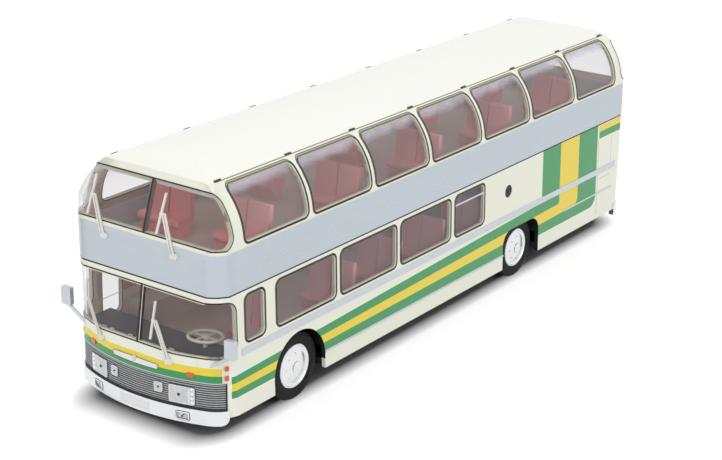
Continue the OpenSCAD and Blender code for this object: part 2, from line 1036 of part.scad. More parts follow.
// an axle rod with both wheel rims
rim_in = 0.9;
module axle(a) {
    color("gray") translate([a[axle_x], 0, tyre_r]) rotate([90, 0, 0]) {
        translate([0, 0, rim_in - tyre_y]) cylinder(r = rod_r, h = 2 * (tyre_y - rim_in));
        for (z = [tyre_y - a[axle_w], rim_in - tyre_y])
            translate([0, 0, z]) cylinder(r = rim_r, h = a[axle_w] - rim_in);
    }
}

module front_axle() { axle(axles[0]); }
module rear_axle() { axle(axles[1]); }

// tyres with round shoulders, single in front and twin behind
shoulder = 1.5;
module tyre(x, y, w) {
    translate([x, y, tyre_r]) rotate([-90, 0, 0]) rotate_extrude() {
        translate([rim_r, 0]) square([tyre_r - rim_r - shoulder, w]);
        translate([rim_r, shoulder]) square([tyre_r - rim_r, w - 2 * shoulder]);
        for (z = [shoulder, w - shoulder]) translate([tyre_r - shoulder, z]) circle(r = shoulder);
    }
}

module front_tyres() {
    color("black") for (y = [tyre_y - tyre_w, -tyre_y]) tyre(front_x, y, tyre_w);
}

module rear_tyres() {
    color("black") for (y = [tyre_y - twin_w, tyre_y - twin_all, -tyre_y, twin_all - twin_w - tyre_y])
        tyre(rear_x, y, twin_w);
}

// domed hub caps with a ring of vent holes, seated on the rims
cap_out = 1.7;
cap_flange = 0.5;
cap_gap = 0.2;
cap_share = 0.78;
cap_steps = 160;
hole_n = 8;
hole_r = 0.45;
hole_share = 0.62;
hole_in = 0.6;
module cap(x, side) {
    r = rim_r - cap_gap;
    dome = r * cap_share;
    rise = cap_out - cap_flange;
    ball = (dome * dome + rise * rise) / (2 * rise);
    translate([x, 0, tyre_r]) rotate([-side * 90, 0, 0]) translate([0, 0, tyre_y - rim_in]) difference() {
        rotate_extrude($fn = cap_steps) {
            square([r, cap_flange]);
            intersection() {
                square([dome, cap_out]);
                translate([0, cap_out - ball]) circle(r = ball, $fn = cap_steps);
            }
        }
        for (i = [0 : hole_n - 1]) rotate([0, 0, 360 * i / hole_n])
            translate([r * hole_share, 0, hole_in]) cylinder(r = hole_r, h = cap_out);
    }
}

module front_caps() { color("silver") for (side = sides) cap(front_x, side); }
module rear_caps() { color("silver") for (side = sides) cap(rear_x, side); }

chassis_plate();
lower_left();
lower_right();
lower_front();
lower_rear();
band_left();
band_right();
band_front();
band_rear();
upper_left();
upper_right();
upper_front();
upper_rear();
roof();
glass_low_left();
glass_low_right();
glass_up_left();
glass_up_right();
screen_low();
screen_up();
rear_glass();
seals();
lower_deck();
upper_deck();
seats_low();
seats_up();
dashboard();
steering_wheel();
grille();
headlamps();
front_bumper();
rear_bumper();
markers();
plates();
trim_left();
trim_right();
mirror_left();
mirror_right();
wipers();
front_axle();
front_tyres();
front_caps();
rear_axle();
rear_tyres();
rear_caps();
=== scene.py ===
import json
import math

import bmesh
import bpy
from mathutils import Matrix, Vector


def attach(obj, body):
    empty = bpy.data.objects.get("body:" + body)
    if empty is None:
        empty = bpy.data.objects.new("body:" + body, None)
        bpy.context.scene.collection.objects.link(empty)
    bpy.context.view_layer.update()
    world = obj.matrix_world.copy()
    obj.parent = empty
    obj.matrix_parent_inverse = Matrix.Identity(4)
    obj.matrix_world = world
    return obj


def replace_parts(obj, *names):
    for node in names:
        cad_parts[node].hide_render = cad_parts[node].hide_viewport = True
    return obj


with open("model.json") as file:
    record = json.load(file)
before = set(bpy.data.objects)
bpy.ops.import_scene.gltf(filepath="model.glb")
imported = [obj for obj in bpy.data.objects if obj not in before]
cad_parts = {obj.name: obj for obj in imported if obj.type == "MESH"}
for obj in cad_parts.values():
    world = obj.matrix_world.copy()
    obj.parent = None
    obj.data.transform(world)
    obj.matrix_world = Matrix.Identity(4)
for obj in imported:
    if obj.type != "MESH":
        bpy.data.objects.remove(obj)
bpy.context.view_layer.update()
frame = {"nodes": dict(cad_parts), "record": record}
nodes = frame["nodes"]
scene = bpy.context.scene
scene.view_settings.view_transform = "Standard"
mm = 0.001
weld = 1e-7  # points of a piece closer than this are one
crease = math.radians(40)  # edges bent more than this stay sharp


def linear(red, green, blue):  # screen colour, 0 to 255, to scene colour
    return tuple(c / 12.92 if c <= 0.04045 else ((c + 0.055) / 1.055) ** 2.4
                 for c in (red / 255, green / 255, blue / 255))


# the coach's own outlines, in millimetres, as its body panels are drawn
coach = dict(halfW=34.0, lean=1.6, leanFoot=-1.0, coveY=32.4, coveZ=65.7, coveIn=9.86, gutterZ=84.7,
             noseX=137.4, bowR=75.0, cornerR=11.0, tailX=-137.4, rearR=7.0, seamRear=-130.4,
             apronZ=22.0, screenZ=28.4, bandZ=50.1, bandTop=62.7, topZ=90.0,
             frontWheelX=92.0, rearWheelX=-52.0, hubZ=12.4, endX=121.0)
coveRise = coach["gutterZ"] - coach["coveZ"]
coveR = (coach["coveIn"] ** 2 + coveRise ** 2) / (2 * coach["coveIn"])
coveMid = coach["coveY"] - coveR
gutterY = coach["coveY"] - coach["coveIn"]
bowX = coach["noseX"] - coach["bowR"]
cornerY = coach["halfW"] - coach["cornerR"]
seamX = bowX + math.sqrt((coach["bowR"] - coach["cornerR"]) ** 2 - cornerY ** 2)
flankL = seamX - coach["seamRear"]
# heights, and how far the nose and the tail stand back there
noseSteps = [(coach["leanFoot"], 0), (coach["apronZ"], 0), (coach["screenZ"], 1.6), (coach["bandZ"], 5.2),
             (coach["bandTop"], 5.2), (coach["gutterZ"], 12.6), (coach["topZ"], 12.6)]
tailSteps = [(coach["leanFoot"], 0), (coach["bandTop"], 0), (coach["gutterZ"], 4.0), (coach["topZ"], 4.0)]


def stepped(table, z):
    for (z0, v0), (z1, v1) in zip(table, table[1:]):
        if z <= z1:
            return v0 + (v1 - v0) * (z - z0) / (z1 - z0)
    return table[-1][1]


def sideY(z, out=0.0):  # half width of the body at a height
    if z <= coach["coveZ"]:
        share = (z - coach["leanFoot"]) / (coach["coveZ"] - coach["leanFoot"])
        return coach["halfW"] - coach["lean"] * share + out
    return coveMid + math.sqrt(max((coveR + out) ** 2 - (z - coach["coveZ"]) ** 2, 0))


def sideNormal(z, side):
    if z <= coach["coveZ"]:
        return Vector((0, side, coach["lean"] / (coach["coveZ"] - coach["leanFoot"]))).normalized()
    return Vector((0, side * (sideY(z) - coveMid), z - coach["coveZ"])).normalized()


def onSide(x, z, side, out=0.0):
    return Vector((x, side * sideY(z), z)) + sideNormal(z, side) * out


def noseX(y, z):  # front of the body at a place across and a height
    bend = coach["bowR"] * cornerY / (coach["bowR"] - coach["cornerR"])
    if abs(y) <= bend:
        bow = bowX + math.sqrt(coach["bowR"] ** 2 - y * y)
    else:
        bow = seamX + math.sqrt(max(coach["cornerR"] ** 2 - (abs(y) - cornerY) ** 2, 0))
    return min(bow, coach["noseX"] - stepped(noseSteps, z))


def onNose(y, z, out=0.0, step=0.1):  # a place on the nose and the way it faces
    x = noseX(y, z)
    up = Vector((noseX(y, z + step) - x, 0, step))
    normal = Vector((noseX(y + step, z) - noseX(y - step, z), 2 * step, 0)).cross(up).normalized()
    if normal.x < 0:
        normal.negate()
    return Vector((x, y, z)) + normal * out, normal


def ring(z, out=0.0, fine=10):  # the body's outline at one height, walked once round
    def arc(cx, cy, r, a0, a1, count):
        turns = [math.radians(a0 + (a1 - a0) * i / count) for i in range(count + 1)]
        return [(cx + r * math.cos(a), cy + r * math.sin(a)) for a in turns]
    wide = sideY(z, out)
    front = coach["noseX"] - stepped(noseSteps, z) + out
    back = coach["tailX"] + stepped(tailSteps, z) - out
    rearY = coach["halfW"] - coach["rearR"]
    turn = coach["cornerR"] + out
    lean = math.degrees(math.atan2(cornerY, seamX - bowX))
    start = math.degrees(math.acos(min((front - seamX) / turn, math.cos(math.radians(lean)))))
    stop = math.degrees(math.asin(min((wide - cornerY) / turn, 1)))
    left = arc(bowX, 0, coach["bowR"] + out, 0, lean, fine)
    for a0, a1 in ((lean, start), (start, stop), (stop, 90)):  # the creases fall on points
        left += arc(seamX, cornerY, turn, a0, a1, fine // 2)[1:]
    left += [(seamX - flankL * i / (4 * fine), coach["halfW"] + out) for i in range(1, 4 * fine)]
    left += arc(coach["seamRear"], rearY, coach["rearR"] + out, 90, 180, fine)
    left += [(coach["tailX"] - out, rearY * (1 - i / fine)) for i in range(1, fine + 1)]
    right = [(x, -y) for x, y in left[1:-1]][::-1]
    return [Vector((min(max(x, back), front), min(max(y, -wide), wide), z)) for x, y in left + right]


def roundPath(box, r, grow, gap=1.6):  # a round-cornered outline, walked in short steps
    x0, z0, x1, z1 = box[0] - grow, box[1] - grow, box[2] + grow, box[3] + grow
    r = r + grow
    corners = [(x1 - r, z0 + r, -90), (x1 - r, z1 - r, 0), (x0 + r, z1 - r, 90), (x0 + r, z0 + r, 180)]
    arcs = []
    for cx, cz, a0 in corners:
        turns = [math.radians(a0 + 15 * i) for i in range(7)]
        arcs.append([(cx + r * math.cos(a), cz + r * math.sin(a)) for a in turns])
    walk = []
    for arc, following in zip(arcs, arcs[1:] + arcs[:1]):
        (ax, az), (bx, bz) = arc[-1], following[0]
        n = max(1, int(math.hypot(bx - ax, bz - az) / gap))
        walk += arc + [(ax + (bx - ax) * i / n, az + (bz - az) * i / n) for i in range(1, n)]
    return walk


def halfRound(wide, high, foot, turn=30):  # section of a bead
    turns = [math.radians(a) for a in range(0, 181, turn)]
    return [(wide * math.cos(a), foot + high * math.sin(a)) for a in turns]


class Shape:  # points and faces of one piece while it is made
    def __init__(self):
        self.points, self.faces = [], []

    def loft(self, rings, closed=True):
        start, count = len(self.points), len(rings[0])
        for r in rings:
            self.points += [Vector(p) for p in r]
        for i in range(len(rings) - 1):
            for j in range(count if closed else count - 1):
                k = (j + 1) % count
                a, b = start + i * count, start + (i + 1) * count
                self.faces.append((a + j, a + k, b + k, b + j))

    def lid(self, start, count):  # one face over a run of points
        self.faces.append(tuple(range(start, start + count)))

    def sweep(self, spots, section, closed=True):  # a small section carried along a path on a surface
        rings, last = [], len(spots) - 1
        for i, (place, normal) in enumerate(spots):
            before = spots[i - 1][0] if closed or i else place
            after = spots[(i + 1) % len(spots)][0] if closed or i < last else place
            across = (after - before).normalized().cross(normal).normalized()
            rings.append([place + across * a + normal * h for a, h in section])
        self.loft(rings + rings[:1] if closed else rings)

    def turn(self, profile, centre, steps, side=1):  # a profile of radius and reach, turned round the axle
        rings = []
        for i in range(steps):
            a = 2 * math.pi * i / steps
            cos, sin = math.cos(a), math.sin(a)
            rings.append([Vector((centre[0] + r * cos, centre[1] + side * w, centre[2] + r * sin))
                          for r, w in profile])
        self.loft(rings + rings[:1], closed=False)

    def block(self, low, high, edge):  # a box with its edges taken off
        made = bmesh.new()
        bmesh.ops.create_cube(made, size=1)
        low, high = Vector(low), Vector(high)
        for v in made.verts:
            v.co = Vector(((low[i] + high[i]) / 2 + v.co[i] * (high[i] - low[i]) for i in range(3)))
        bmesh.ops.bevel(made, geom=made.edges[:], offset=edge, segments=2, affect="EDGES", profile=0.5)
        start = len(self.points)
        made.verts.index_update()
        self.points += [v.co.copy() for v in made.verts]
        self.faces += [tuple(start + v.index for v in f.verts) for f in made.faces]
        made.free()

    def dome(self, centre, outward, radius, rise, steps=12, rows=3):
        outward = Vector(outward).normalized()
        u = outward.orthogonal().normalized()
        v = outward.cross(u)
        turns = [2 * math.pi * j / steps for j in range(steps)]
        rings = []
        for i in range(rows + 1):
            a = math.pi / 2 * i / rows
            r, h = max(radius * math.cos(a), radius * 0.02), rise * math.sin(a)
            rings.append([Vector(centre) + outward * h + (u * math.cos(t) + v * math.sin(t)) * r
                          for t in turns])
        self.loft(rings)

    def piece(self, name, slot, finish=None, body="body", smooth=True):
        mesh = bpy.data.meshes.new(name)
        mesh.from_pydata([p * mm for p in self.points], [], self.faces)
        joined = bmesh.new()
        joined.from_mesh(mesh)
        bmesh.ops.remove_doubles(joined, verts=joined.verts, dist=weld)
        bmesh.ops.recalc_face_normals(joined, faces=joined.faces)
        joined.to_mesh(mesh)
        joined.free()
        mesh.polygons.foreach_set("use_smooth", [smooth] * len(mesh.polygons))
        mesh.materials.append((finish or finishes[slot]).material)
        made = bpy.data.objects.new(name, mesh)
        scene.collection.objects.link(made)
        if smooth:
            mesh.set_sharp_from_angle(angle=crease)
        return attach(made, body)


class Wire:  # one socket; sums written on it add their Math nodes
    def __init__(self, owner, socket):
        self.owner, self.socket = owner, socket

    def sum(self, kind, *terms):
        return self.owner.make("ShaderNodeMath", {"operation": kind}, dict(enumerate(terms)))

    def beside(self, out):  # another output of the same node
        return Wire(self.owner, self.socket.node.outputs[out])

    def sign(self):
        return self.sum("SIGN", self)

    def between(self, low, high):
        return (self > low) & (self < high)

    def __add__(self, other):
        return self.sum("ADD", self, other)

    def __radd__(self, other):
        return self.sum("ADD", other, self)

    def __sub__(self, other):
        return self.sum("SUBTRACT", self, other)

    def __rsub__(self, other):
        return self.sum("SUBTRACT", other, self)

    def __mul__(self, other):
        return self.sum("MULTIPLY", self, other)

    def __rmul__(self, other):
        return self.sum("MULTIPLY", other, self)

    def __truediv__(self, other):
        return self.sum("DIVIDE", self, other)

    def __rtruediv__(self, other):
        return self.sum("DIVIDE", other, self)

    def __mod__(self, other):
        return self.sum("FLOORED_MODULO", self, other)

    def __pow__(self, other):
        return self.sum("POWER", self, other)

    def __gt__(self, other):
        return self.sum("GREATER_THAN", self, other)

    def __lt__(self, other):
        return self.sum("LESS_THAN", self, other)

    def __and__(self, other):  # where both masks are
        return self.sum("MINIMUM", self, other)

    def __or__(self, other):  # where either mask is
        return self.sum("MAXIMUM", self, other)

    def __abs__(self):
        return self.sum("ABSOLUTE", self)


class Nodes:  # a node tree and the ways to add to it
    def __init__(self, tree, shader):
        self.tree, self.shader = tree, tree.nodes[shader]

    def feed(self, socket, value):
        if isinstance(value, Wire):
            self.tree.links.new(value.socket, socket)
        elif socket.type == "RGBA" and len(value) == 3:
            socket.default_value = (*value, 1)
        else:
            socket.default_value = value

    def make(self, kind, settings=None, sockets=None, out=0):
        node = self.tree.nodes.new(kind)
        for key, value in (settings or {}).items():
            setattr(node, key, value)
        for key, value in (sockets or {}).items():
            self.feed(node.inputs[key], value)
        return Wire(self, node.outputs[out])

    def give(self, sockets):
        for key, value in sockets.items():
            self.feed(self.shader.inputs[key], value)

    def mix(self, mask, low, high):
        return self.make("ShaderNodeMix", {"data_type": "RGBA"}, {0: mask, 6: low, 7: high}, 2)

    def spread(self, value, low, high):  # a 0 to 1 value moved to a new range
        return self.make("ShaderNodeMapRange", None, {"Value": value, "To Min": low, "To Max": high})

    def ramp(self, value, low, high, rise):  # rises from 0 between two values
        sockets = {"Value": value, "From Min": low, "From Max": high, "To Max": rise}
        return self.make("ShaderNodeMapRange", None, sockets)

    def shown(self):  # rays from the eye, and those that metal and glass send on
        camera = self.make("ShaderNodeLightPath", out="Is Camera Ray")
        return camera | camera.beside("Is Glossy Ray") | camera.beside("Is Transmission Ray")


cornerLook = dict(round=9.5, lean=0.024, lowLift=0.163, upLift=0.319, near=0.5)


class Finish(Nodes):  # one material
    def __init__(self, name, sockets):
        self.material = bpy.data.materials.new(name)
        self.material.use_nodes = True
        super().__init__(self.material.node_tree, "Principled BSDF")
        self.coords = self.make("ShaderNodeTexCoord", out="Object")
        self.place = self.make("ShaderNodeVectorMath", {"operation": "SCALE"},
                               {0: self.coords, "Scale": 1 / mm})
        self.give(sockets)

    def axes(self, vector=None):  # x, y and z of the place, in millimetres
        split = self.make("ShaderNodeSeparateXYZ", None, {0: vector or self.place})
        return [split.beside(i) for i in range(3)]

    def facing(self):
        return self.axes(self.coords.beside("Normal"))

    def cloud(self, size, detail=3.0, stretch=None):  # noise with features of a size in millimetres
        place = self.place
        if stretch:
            place = self.make("ShaderNodeVectorMath", {"operation": "MULTIPLY"}, {0: place, 1: stretch})
        return self.make("ShaderNodeTexNoise", None, {"Vector": place, "Scale": 1 / size, "Detail": detail})

    def shade(self, colour, worn, size=9, low=-0.2, high=0.9):  # two tones in soft patches
        return self.mix(self.spread(self.cloud(size), low, high), colour, worn)

    def dent(self, height, depth, normal=None):  # height in millimetres to a normal
        sockets = {"Height": height, "Distance": depth * mm, "Strength": 0.6}
        return self.make("ShaderNodeBump", None, {**sockets, "Normal": normal} if normal else sockets)

    def corner(self):  # normal eased round the front corners
        r = cornerLook["round"]
        x, y, z = self.axes()
        nx, ny = self.facing()[:2]
        rises = [self.ramp(z, a, b, w - v) for (a, v), (b, w) in zip(noseSteps, noseSteps[1:]) if w > v]
        front = coach["noseX"] - sum(rises)
        above = (z - coach["coveZ"]) | 0
        below = (coach["coveZ"] - z) | 0
        side = coveMid + (coveR ** 2 - above * above) ** 0.5 + below * cornerLook["lean"]
        hand = y.sign()
        dx, dy = (x - front + r) | 0, (abs(y) - side + r) | 0
        long = (dx * dx + dy * dy) ** 0.5 | 0.001
        turn = dy / long
        lift = z.between(coach["screenZ"], coach["bandZ"]) * cornerLook["lowLift"]
        lift = lift + (z > coach["bandTop"]) * cornerLook["upLift"]
        lift = lift + (above / coveR - lift) * turn * turn
        flat = (1 - lift * lift) ** 0.5
        eased = self.make("ShaderNodeCombineXYZ", None, {0: dx / long * flat, 1: hand * turn * flat, 2: lift})
        near = (nx * dx + ny * hand * dy) / long
        use = (dx > 0.01) & (dy > 0.01) & (near > cornerLook["near"])
        plain = self.make("ShaderNodeNewGeometry", out="Normal")
        return self.make("ShaderNodeMix", {"data_type": "VECTOR"}, {0: use, 4: plain, 5: eased}, 1)


# paints, glazing and plastics, with what could be changed above each
liningLook = dict(tone=linear(236, 219, 198), turned=0.25, ceiling=0.5, ceilingZ=60)


def lining(f, colour):  # panels are plain coloured inside
    x, y, z = f.axes()
    nx, ny, nz = f.facing()
    end, turned = coach["endX"], liningLook["turned"]
    inward = (ny * y.sign() < -turned) | ((x > end) & (nx < -turned)) | ((x < -end) & (nx > turned))
    inward = inward | ((z > liningLook["ceilingZ"]) & (nz < -liningLook["ceiling"]))
    return f.mix(inward, colour, liningLook["tone"])


enamelLook = dict(patch=18, tint=0.06, grey=(0.25, 0.23, 0.2), smear=7, peel=0.9, wave=6, depth=0.02)


def gloss(f, colour, rough, normal=None):  # sprayed enamel: faint unevenness and orange peel
    look = enamelLook
    dull = f.mix(look["tint"], colour, look["grey"])
    skin = f.cloud(look["peel"], 2) * 0.6 + f.cloud(look["wave"], 2)
    f.give({"Base Color": f.mix(f.spread(f.cloud(look["patch"], 2), 0.0, 0.5), colour, dull),
            "Roughness": f.spread(f.cloud(look["smear"], 4), rough - 0.06, rough + 0.08),
            "Normal": f.dent(skin, look["depth"], normal)})


creamLook = dict(cream=linear(239, 240, 224), green=linear(40, 150, 82), yellow=linear(240, 214, 44),
                 line=linear(150, 148, 138), arch=linear(36, 35, 36),
                 foot=14.1, crest=22.2, crestX=115.0, climb=0.0302, riseEnd=-68.0,
                 turns=[(-114, 5.0), (-98, 3.5), (-82.5, 1.5)], sideStart=126.9, sideY=28.5, sideTop=50.3,
                 rearEnd=-115.6, rearZ=(43.6, 46.7, 49.4), frontEnd=31.2, frontZ=(20.0, 22.6, 25.3))
hatchLook = dict(frontX=-115.2, foot=9.5, wide=0.13, lidX=-126.6, lidZ=(31, 43), sillX=(-127, -117),
                 sillZ=25.3, fine=0.1)
archLook = dict(frontR=13.88, rearHalf=7.8, rearZ=17, rearR=6.08, top=27, inY=28)


def creamPaint():
    look = creamLook
    f = Finish("creamPaint", {"Coat Weight": 0.35, "Coat Roughness": 0.12, "Specular IOR Level": 0.45})
    x, y, z = f.axes()
    flank = (x < look["sideStart"]) & (abs(y) > look["sideY"]) & (z < look["sideTop"])
    crest = look["crest"] + (look["crestX"] - x) * look["climb"]

    def inside(edgeX, edgeZ, r):  # above and ahead of a turned-up edge with a round corner
        away = (edgeX + r - x) ** 2 + (edgeZ + r - z) ** 2
        cut = (x < edgeX + r) & (z < edgeZ + r) & (away > r * r)
        return (x > edgeX) & (z > edgeZ) & (1 - cut)

    third = (crest - look["foot"]) / 3
    steps = [inside(turnX, look["foot"] + third * i, r) for i, (turnX, r) in enumerate(look["turns"])]
    field = (x > look["riseEnd"]) & (z > crest)
    green = steps[0] & (1 - field) & flank
    yellow = steps[1] & (1 - steps[2]) & flank
    tail = x < look["rearEnd"]
    low, middle, high = look["rearZ"]
    green = green | (tail & z.between(low, middle))
    yellow = yellow | (tail & z.between(middle, high))
    nose = (x > coach["endX"]) & (abs(y) < look["frontEnd"])
    low, middle, high = look["frontZ"]
    green = green | (nose & z.between(low, middle))
    yellow = yellow | (nose & z.between(middle, high))
    colour = f.mix(green, look["cream"], look["green"])
    colour = f.mix(yellow, colour, look["yellow"])

    hatch = hatchLook
    seam = (abs(x - hatch["frontX"]) < hatch["wide"]) & (z > hatch["foot"])
    seam = seam | ((abs(x - hatch["lidX"]) < hatch["fine"]) & z.between(*hatch["lidZ"]))
    seam = seam | ((abs(z - hatch["sillZ"]) < hatch["fine"]) & x.between(*hatch["sillX"]))
    colour = f.mix(seam & (abs(y) > look["sideY"]), colour, look["line"])
    colour = lining(f, colour)

    front = (x - coach["frontWheelX"]) ** 2 + (z - coach["hubZ"]) ** 2 < archLook["frontR"] ** 2
    wide = (abs(x - coach["rearWheelX"]) - archLook["rearHalf"]) | 0
    tall = (z - archLook["rearZ"]) | 0
    arch = front | (wide * wide + tall * tall < archLook["rearR"] ** 2)
    arch = arch & (z < archLook["top"]) & (abs(y) > archLook["inY"])
    gloss(f, f.mix(arch, colour, look["arch"]), 0.3, f.corner())  # the cut edges of the arches are dark
    return f


roofLook = dict(white=linear(246, 247, 239), rough=0.36)


def roofPaint():
    f = Finish("roofPaint", {"Coat Weight": 0.25, "Coat Roughness": 0.15, "Specular IOR Level": 0.4})
    gloss(f, lining(f, roofLook["white"]), roofLook["rough"])
    return f


bandTone = dict(grey=linear(190, 199, 208), pale=linear(201, 210, 218), grain=0.5, stretch=(0.05, 0.05, 1.0),
                depth=0.012)


def bandPaint():  # brushed along the coach
    look = bandTone
    f = Finish("bandPaint", {"Metallic": 0.25, "Coat Weight": 0.15, "Coat Roughness": 0.25})
    grain = f.cloud(look["grain"], 3, look["stretch"])
    f.give({"Base Color": f.mix(grain, look["grey"], look["pale"]),
            "Roughness": f.spread(grain, 0.32, 0.48), "Normal": f.dent(grain, look["depth"], f.corner())})
    return f


glassLook = dict(tint=linear(206, 203, 210), sky=linear(216, 212, 226), skyFrom=0.69, skyTo=0.8, skyY=20,
                 reflectionCover=0.45, clear=0.1, screen=0.05, edge=0.7)


def glazing():  # moulded panes, with a painted reflection of the sky where they turn up, and a painted reflection where seen edge-on
    look = glassLook
    f = Finish("glazing", {"Specular IOR Level": 0.6})
    smooth = f.corner()
    x, y = f.axes()[:2]
    # where the panes turn up they are painted pale lavender and made more opaque: a painted reflection of the
    # sky
    up = f.facing()[2] + f.cloud(9) * 0.12
    sky = f.ramp(up, look["skyFrom"], look["skyTo"], 1.0) & (abs(y) > look["skyY"])
    # the cover is the pane's veil, and it rises where the pane is seen edge-on: a painted reflection in the
    # pane's tint
    edge = f.make("ShaderNodeLayerWeight", None, {"Blend": 0.5, "Normal": smooth}, "Facing")
    veilAndReflection = edge ** 4 * look["edge"] + look["clear"]
    veilAndReflection = veilAndReflection - (x > coach["endX"]) * look["screen"] + sky * look["reflectionCover"]
    f.give({"Base Color": f.mix(sky, look["tint"], look["sky"]), "Alpha": veilAndReflection, "Normal": smooth,
            "Roughness": f.spread(f.cloud(12), 0.02, 0.07)})
    return f


def plastic(name, colour, worn, rough, size=1.2, depth=0.015):  # moulded plastic with a fine grain
    f = Finish(name, {"Specular IOR Level": 0.35})
    grain = f.cloud(size, 4)
    f.give({"Base Color": f.shade(colour, worn), "Roughness": f.spread(grain, rough - 0.08, rough + 0.1),
            "Normal": f.dent(grain, depth)})
    return f


def brightMetal(name, colour, dull, rough, size, metal=1.0):
    f = Finish(name, {"Metallic": metal})
    f.give({"Base Color": f.mix(f.spread(f.cloud(size, 2), -0.2, 0.8), colour, dull),
            "Roughness": f.spread(f.cloud(size * 0.6, 2), rough * 0.6, rough * 1.4)})
    return f


grilleLook = dict(foot=10.2, high=9.7, slats=12, share=0.42, back=linear(48, 47, 49),
                  slat=linear(160, 161, 163), bright=linear(190, 191, 194))


def grillePlastic():  # black back plate, grey painted slats
    look = grilleLook
    f = Finish("grillePlastic", {"Specular IOR Level": 0.5})
    z = f.axes()[2]
    pitch = look["high"] / look["slats"]
    slat = (z - look["foot"]) % pitch < pitch * look["share"]
    f.give({"Base Color": f.mix(slat, look["back"], f.mix(f.cloud(1.5), look["slat"], look["bright"])),
            "Metallic": slat * 0.4, "Roughness": f.spread(f.cloud(2), 0.3, 0.45),
            "Normal": f.dent(f.cloud(0.8), 0.01)})
    return f


reflectorLook = dict(dull=linear(172, 175, 180), bright=linear(224, 226, 230), flute=0.7, depth=0.35)


def lampLens():  # silvered reflector under a fluted clear lens
    look = reflectorLook
    f = Finish("lampLens", {"Coat Weight": 0.8, "Coat Roughness": 0.05, "Metallic": 0.55})
    flute = abs(f.axes()[1] % look["flute"] - look["flute"] / 2)
    f.give({"Base Color": f.mix(f.cloud(2.4, 2), look["dull"], look["bright"]),
            "Roughness": f.spread(f.cloud(1.4), 0.12, 0.3), "Normal": f.dent(flute, look["depth"])})
    return f


lensLook = dict(red=linear(170, 24, 18), bright=linear(205, 44, 30), corner=linear(226, 74, 26),
                orange=linear(222, 88, 14), endX=100, noseY=28, tailZ=(24, 27), flute=0.6, depth=0.25)


def lensPlastic():  # red at the tail with an orange lens over it, orange at the nose
    look = lensLook
    f = Finish("lensPlastic", {"Coat Weight": 0.6, "Coat Roughness": 0.06})
    x, y, z = f.axes()
    nose = x > look["endX"]
    orange = (nose & (abs(y) < look["noseY"])) | ((x < -look["endX"]) & z.between(*look["tailZ"]))
    flute = abs(z % look["flute"] - look["flute"] / 2)
    red = f.mix(f.cloud(1, 2), look["red"], look["bright"])
    f.give({"Base Color": f.mix(orange, f.mix(nose, red, look["corner"]), look["orange"]),
            "Roughness": f.spread(f.cloud(2), 0.15, 0.3), "Normal": f.dent(flute, look["depth"])})
    return f


rubberLook = dict(black=linear(15, 15, 16), dusty=linear(33, 32, 33), patch=2.2, depth=0.04)


def tyreRubber():  # a little dust, scuffed side walls
    look = rubberLook
    f = Finish("tyreRubber", {"Specular IOR Level": 0.3})
    dust = f.spread(f.cloud(look["patch"], 5), -0.4, 0.9)
    f.give({"Base Color": f.mix(dust, look["black"], look["dusty"]),
            "Roughness": f.spread(f.cloud(1.0, 4), 0.62, 0.82),
            "Normal": f.dent(f.cloud(0.5, 4), look["depth"])})
    return f


# head is painted shade: the olive-grey of the thin shadow line under the roof edge, on the seals and the
# gutter line
sealLook = dict(black=linear(30, 29, 31), worn=linear(48, 46, 47), lip=linear(208, 205, 190),
                head=linear(122, 118, 102), shadeLineZ=83.2, bar=linear(132, 116, 112), barY=1.0, barEdge=0.5,
                cornerY=30, noseX=120, upperZ=60, screenZ=62)


def sealPlastic():  # black face, pale inner lip; along the roof a lighter olive-grey, painted shade of the thin shadow line under the roof edge
    look = sealLook
    f = Finish("sealRubber", {"Specular IOR Level": 0.35})
    x, y, z = f.axes()
    ny, nz = f.facing()[1:]
    lip = (x < look["noseX"]) | (abs(nz) > 0.8) | (abs(y) > look["cornerY"])
    lip = lip | ((nz < 0.2) & (z > look["screenZ"]))
    lip = lip & (abs(ny) < 0.1) & (abs(y) > look["barEdge"])
    barSide = (abs(y) < look["barY"]) & (abs(ny) > 0.9) & (z > look["upperZ"])
    # along the roof the black gives way to the olive-grey of painted shade
    tone = f.mix(z > look["shadeLineZ"], f.shade(look["black"], look["worn"]), look["head"])
    tone = f.mix(barSide, tone, look["bar"])
    f.give({"Base Color": f.mix(lip, tone, look["lip"]), "Roughness": f.spread(f.cloud(0.8, 4), 0.42, 0.6),
            "Normal": f.dent(f.cloud(0.8, 4), 0.02)})
    return f


deckLook = dict(pale=linear(212, 194, 184), worn=linear(196, 176, 166), black=linear(30, 29, 30),
                wellHalf=14.15, frontY=22.3, rearY=18.3, wellTop=25.8, underZ=30)


def deckPlastic():  # plain above, black round the wheels and underneath
    look = deckLook
    f = Finish("deckPlastic", {"Specular IOR Level": 0.35})
    x, y, z = f.axes()
    nz = f.facing()[2]
    front = (abs(x - coach["frontWheelX"]) < look["wellHalf"]) & (abs(y) > look["frontY"])
    rear = (abs(x - coach["rearWheelX"]) < look["wellHalf"]) & (abs(y) > look["rearY"])
    dark = ((front | rear) & (z < look["wellTop"])) | ((nz < -0.5) & (z < look["underZ"]))
    f.give({"Base Color": f.mix(dark, f.shade(look["pale"], look["worn"]), look["black"]),
            "Roughness": f.spread(f.cloud(1.2, 4), 0.5, 0.7), "Normal": f.dent(f.cloud(1.2, 4), 0.015)})
    return f


